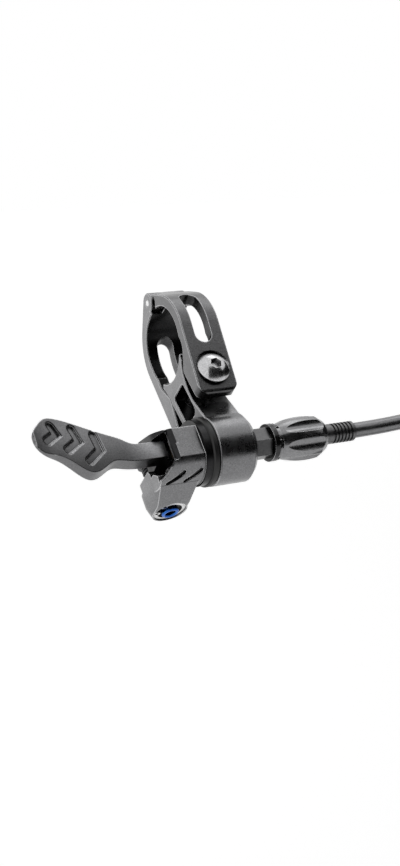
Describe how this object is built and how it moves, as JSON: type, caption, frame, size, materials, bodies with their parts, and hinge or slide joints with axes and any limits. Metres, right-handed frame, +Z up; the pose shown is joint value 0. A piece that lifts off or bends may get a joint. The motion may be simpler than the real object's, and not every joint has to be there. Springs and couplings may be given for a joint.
{
  "type": "dropper post remote lever",
  "caption": "Thumb remote for a dropper seatpost: hinged bar clamp, swivelling lever housing, swept grip-patterned paddle, barrel adjuster and tied outer cable.",
  "frame": {"origin": "centre of the handlebar bore, in the middle of the clamp's width", "axes": "+X along the bar towards the cable's side, +Y forwards away from the rider, +Z up, with the remote hanging 45 degrees forward and down as on a bicycle"},
  "size_m": [0.1873, 0.0601, 0.1298],
  "materials": {
    "satin_black": "satin",
    "satin_black_bracket": "satin",
    "steel_bright": "polished",
    "washer_black": "matte",
    "bush_black": "matte",
    "pin_blue": "anodised",
    "spring_steel": "satin",
    "hex_black": "anodised",
    "knob_black": "anodised",
    "ring_black": "matte",
    "ferrule_black": "satin",
    "housing_black": "satin",
    "cable_steel": "satin",
    "brass_barrel": "satin"
  },
  "bodies": {
    "clamp": {"front_band": "satin_black", "hinge_pin": "steel_bright", "bracket": "satin_black_bracket", "thrust_washer": "washer_black"},
    "strap": {"rear_strap": "satin_black"},
    "bolt": {"clamp_bolt": "steel_bright"},
    "housing": {"lever_housing": "satin_black", "lower_bush": "bush_black", "upper_bush": "bush_black", "pivot_pin": "pin_blue", "pivot_clip": "steel_bright", "return_spring": "spring_steel", "collar_bolt": "hex_black"},
    "lever": {"thumb_lever": "satin_black"},
    "cable_end": {"cable_anchor": "brass_barrel", "inner_cable": "cable_steel"},
    "outer_cable": {"ferrule": "ferrule_black", "cable_housing": "housing_black", "cable_coil": "housing_black", "coil_ties": "washer_black", "end_ferrule": "steel_bright"},
    "adjuster": {"barrel_adjuster": "knob_black", "index_ring": "ring_black"}
  },
  "joints": [
    {"name": "bolt_unscrew", "type": "slide", "parent": "clamp", "child": "bolt", "axis": [0, -0.7071, 0.7071], "range_m": [0, 0.004]},
    {"name": "strap_open", "type": "hinge", "parent": "clamp", "child": "strap", "pos_m": [0, 0.01011, 0.0111], "axis": [-1, 0, 0], "range_deg": [0, 6.5]},
    {"name": "housing_swivel", "type": "hinge", "parent": "clamp", "child": "housing", "pos_m": [0, -0.02737, -0.02482], "axis": [1, 0, 0], "range_deg": [-20, 20]},
    {"name": "lever_press", "type": "hinge", "parent": "housing", "child": "lever", "pos_m": [-0.0169, -0.01945, -0.03274], "axis": [0, -0.7071, -0.7071], "range_deg": [0, 25], "stiffness_Nm_per_rad": 0.4, "springref_deg": -20.05, "deforming": ["return_spring"]},
    {"name": "anchor_turn", "type": "hinge", "parent": "lever", "child": "cable_end", "pos_m": [-0.0152, -0.02737, -0.02482], "axis": [0, -0.7071, -0.7071], "range_deg": [-25, 0]},
    {"name": "adjuster_turn", "type": "hinge", "parent": "outer_cable", "child": "adjuster", "pos_m": [0, -0.02737, -0.02482], "axis": [1, 0, 0], "range_deg": [0, 1800]},
    {"name": "adjuster_feed", "type": "slide", "parent": "clamp", "child": "outer_cable", "axis": [1, 0, 0], "range_m": [0, 0.004]}
  ],
  "couplings": [
    {"joint": "strap_open", "follows": "bolt_unscrew", "rad_per_m": 26},
    {"joint": "anchor_turn", "follows": "lever_press", "ratio": -1},
    {"joint": "adjuster_turn", "follows": "adjuster_feed", "rad_per_m": 7854}
  ]
}
